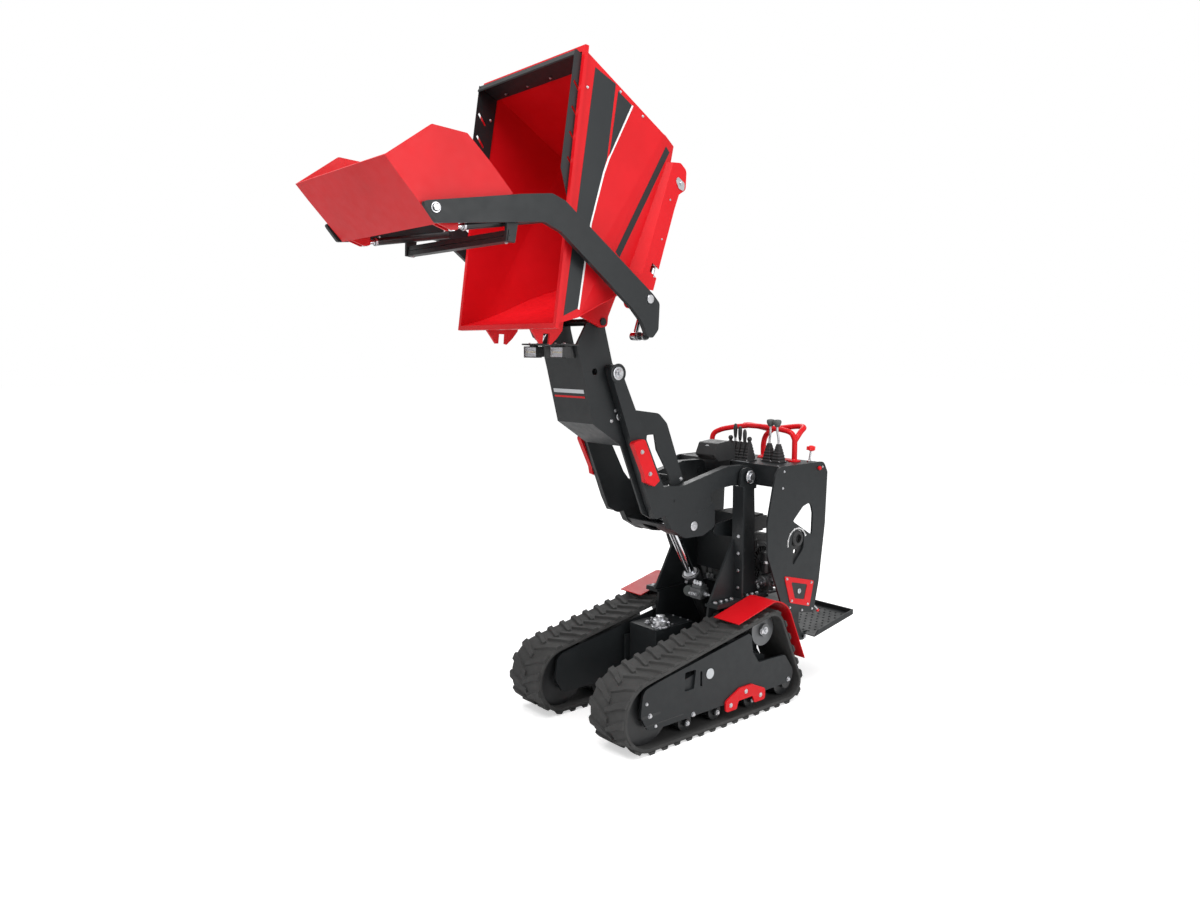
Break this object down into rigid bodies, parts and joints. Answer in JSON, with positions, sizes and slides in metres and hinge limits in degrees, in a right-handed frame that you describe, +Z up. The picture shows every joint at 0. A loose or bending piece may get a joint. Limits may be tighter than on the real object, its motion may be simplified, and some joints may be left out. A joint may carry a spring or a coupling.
{
  "type": "tracked site dumper",
  "caption": "Narrow rubber-tracked mini dumper with a raised high-tip skip, a self-loading shovel on two arms, a rear control console and a stand-on platform.",
  "frame": {"origin": "middle of the whole machine's box in plan, on the ground under its tracks", "axes": "+X towards the machine's left, +Y to its rear where the driver stands, +Z up; the skip tips over the front at -Y"},
  "size_m": [0.78, 2.5806, 2.7184],
  "materials": {
    "red_paint": "glossy red paint",
    "dark_paint": "satin anthracite paint",
    "rubber": "dull grey-black moulded rubber",
    "bright_steel": "bare or zinc plated steel",
    "black_cover": "black covers and painted castings",
    "black_steel": "black painted steel"
  },
  "bodies": {
    "chassis": {"track_left": "rubber", "track_right": "rubber", "track_frame_left": "dark_paint", "track_frame_right": "dark_paint", "front_idler_left": "dark_paint", "front_idler_right": "dark_paint", "drive_sprocket_left": "bright_steel", "drive_sprocket_right": "bright_steel", "roller_set_left": "dark_paint", "roller_set_right": "dark_paint", "rocker_left": "red_paint", "rocker_right": "red_paint", "chassis": "dark_paint", "tank": "dark_paint", "fender_left": "red_paint", "fender_right": "red_paint", "tower": "dark_paint", "engine": "black_cover", "console_side_left": "dark_paint", "console_side_right": "dark_paint", "console_deck": "dark_paint", "lever_bank": "black_cover", "control_valve": "black_cover", "instrument_pod": "black_cover", "travel_levers": "black_cover", "handlebar": "red_paint"},
    "lift_arm": {"lift_arm": "dark_paint", "arm_guard_left": "red_paint", "arm_guard_right": "red_paint"},
    "boom": {"boom": "dark_paint", "work_lamps": "black_cover"},
    "boom_link": {"boom_link": "dark_paint"},
    "skip": {"skip": "red_paint", "spill_guard": "dark_paint"},
    "loader_arms": {"loader_arms": "dark_paint"},
    "shovel": {"shovel": "red_paint"},
    "platform": {"platform": "dark_paint"},
    "lift_barrel": {"lift_barrel": "black_steel"},
    "lift_rod": {"lift_rod": "bright_steel"},
    "tip_barrel": {"tip_barrel": "black_steel"},
    "tip_rod": {"tip_rod": "bright_steel"},
    "arm_barrel_left": {"arm_barrel_left": "black_steel"},
    "arm_rod_left": {"arm_rod_left": "bright_steel"},
    "tilt_barrel_left": {"tilt_barrel_left": "black_steel"},
    "tilt_rod_left": {"tilt_rod_left": "bright_steel"},
    "arm_barrel_right": {"arm_barrel_right": "black_steel"},
    "arm_rod_right": {"arm_rod_right": "bright_steel"},
    "tilt_barrel_right": {"tilt_barrel_right": "black_steel"},
    "tilt_rod_right": {"tilt_rod_right": "bright_steel"}
  },
  "joints": [
    {"name": "lift_arm_pivot", "type": "hinge", "parent": "chassis", "child": "lift_arm", "pos_m": [0, 0.59944, 1.045], "axis": [1, 0, 0], "range_deg": [0, 47]},
    {"name": "boom_pivot", "type": "hinge", "parent": "lift_arm", "child": "boom", "pos_m": [0, -0.17756, 1.535], "axis": [1, 0, 0], "range_deg": [-18.2, 0]},
    {"name": "skip_pivot", "type": "hinge", "parent": "boom", "child": "skip", "pos_m": [0, -0.23856, 1.742], "axis": [-1, 0, 0], "range_deg": [0, 108.9]},
    {"name": "loader_arm_pivot", "type": "hinge", "parent": "skip", "child": "loader_arms", "pos_m": [0, -0.20186, 1.82433], "axis": [1, 0, 0], "range_deg": [0, 148.2]},
    {"name": "shovel_pivot", "type": "hinge", "parent": "loader_arms", "child": "shovel", "pos_m": [0, -1.13019, 2.08375], "axis": [1, 0, 0], "range_deg": [-10, 25]},
    {"name": "platform_pivot", "type": "hinge", "parent": "chassis", "child": "platform", "pos_m": [0, 0.94944, 0.232], "axis": [1, 0, 0], "range_deg": [0, 76]},
    {"name": "lift_cylinder_pivot", "type": "hinge", "parent": "chassis", "child": "lift_barrel", "pos_m": [0, 0.58144, 0.29], "axis": [1, 0, 0], "range_deg": [-19.79, 0]},
    {"name": "lift_cylinder_stroke", "type": "slide", "parent": "lift_barrel", "child": "lift_rod", "axis": [0, -0.4843, 0.8749], "range_m": [-0.25378, 0]},
    {"name": "boom_link_pivot", "type": "hinge", "parent": "chassis", "child": "boom_link", "pos_m": [0, 0.48144, 0.801], "axis": [1, 0, 0], "range_deg": [0, 97.18]},
    {"name": "tip_cylinder_pivot", "type": "hinge", "parent": "boom", "child": "tip_barrel", "pos_m": [0, -0.13556, 1.356], "axis": [1, 0, 0], "range_deg": [-4.38, 0]},
    {"name": "tip_cylinder_stroke", "type": "slide", "parent": "tip_barrel", "child": "tip_rod", "axis": [0, -0.1761, 0.9844], "range_m": [-0.12869, 0]},
    {"name": "arm_cylinder_pivot_left", "type": "hinge", "parent": "skip", "child": "arm_barrel_left", "pos_m": [0.291, 0.01195, 2.28883], "axis": [1, 0, 0], "range_deg": [-2.43, 0]},
    {"name": "arm_cylinder_stroke_left", "type": "slide", "parent": "arm_barrel_left", "child": "arm_rod_left", "axis": [0, -0.3347, -0.9423], "range_m": [-0.27102, 0]},
    {"name": "arm_cylinder_pivot_right", "type": "hinge", "parent": "skip", "child": "arm_barrel_right", "pos_m": [-0.291, 0.01195, 2.28883], "axis": [1, 0, 0], "range_deg": [-2.43, 0]},
    {"name": "arm_cylinder_stroke_right", "type": "slide", "parent": "arm_barrel_right", "child": "arm_rod_right", "axis": [0, -0.3347, -0.9423], "range_m": [-0.27102, 0]},
    {"name": "tilt_cylinder_pivot_left", "type": "hinge", "parent": "loader_arms", "child": "tilt_barrel_left", "pos_m": [0.318, -0.66822, 2.0917], "axis": [1, 0, 0], "range_deg": [-6.69, 2.74]},
    {"name": "tilt_cylinder_stroke_left", "type": "slide", "parent": "tilt_barrel_left", "child": "tilt_rod_left", "axis": [0, -0.9884, -0.1519], "range_m": [-0.01714, 0.00746]},
    {"name": "tilt_cylinder_pivot_right", "type": "hinge", "parent": "loader_arms", "child": "tilt_barrel_right", "pos_m": [-0.318, -0.66822, 2.0917], "axis": [1, 0, 0], "range_deg": [-6.69, 2.74]},
    {"name": "tilt_cylinder_stroke_right", "type": "slide", "parent": "tilt_barrel_right", "child": "tilt_rod_right", "axis": [0, -0.9884, -0.1519], "range_m": [-0.01714, 0.00746]}
  ],
  "couplings": [
    {"joint": "boom_pivot", "follows": "lift_arm_pivot", "ratio": -0.38298},
    {"joint": "loader_arm_pivot", "follows": "skip_pivot", "ratio": 1.359},
    {"joint": "lift_cylinder_pivot", "follows": "lift_arm_pivot", "ratio": -0.41689},
    {"joint": "lift_cylinder_stroke", "follows": "lift_arm_pivot", "m_per_rad": -0.30815},
    {"joint": "boom_link_pivot", "follows": "lift_arm_pivot", "ratio": 2.0633},
    {"joint": "tip_cylinder_pivot", "follows": "skip_pivot", "ratio": -0.038402},
    {"joint": "tip_cylinder_stroke", "follows": "skip_pivot", "m_per_rad": -0.067184},
    {"joint": "arm_cylinder_pivot_left", "follows": "skip_pivot", "ratio": -0.020491},
    {"joint": "arm_cylinder_stroke_left", "follows": "skip_pivot", "m_per_rad": -0.14207},
    {"joint": "arm_cylinder_pivot_right", "follows": "skip_pivot", "ratio": -0.020491},
    {"joint": "arm_cylinder_stroke_right", "follows": "skip_pivot", "m_per_rad": -0.14207},
    {"joint": "tilt_cylinder_pivot_left", "follows": "shovel_pivot", "ratio": -0.26371},
    {"joint": "tilt_cylinder_stroke_left", "follows": "shovel_pivot", "m_per_rad": -0.036986},
    {"joint": "tilt_cylinder_pivot_right", "follows": "shovel_pivot", "ratio": -0.26371},
    {"joint": "tilt_cylinder_stroke_right", "follows": "shovel_pivot", "m_per_rad": -0.036986}
  ]
}
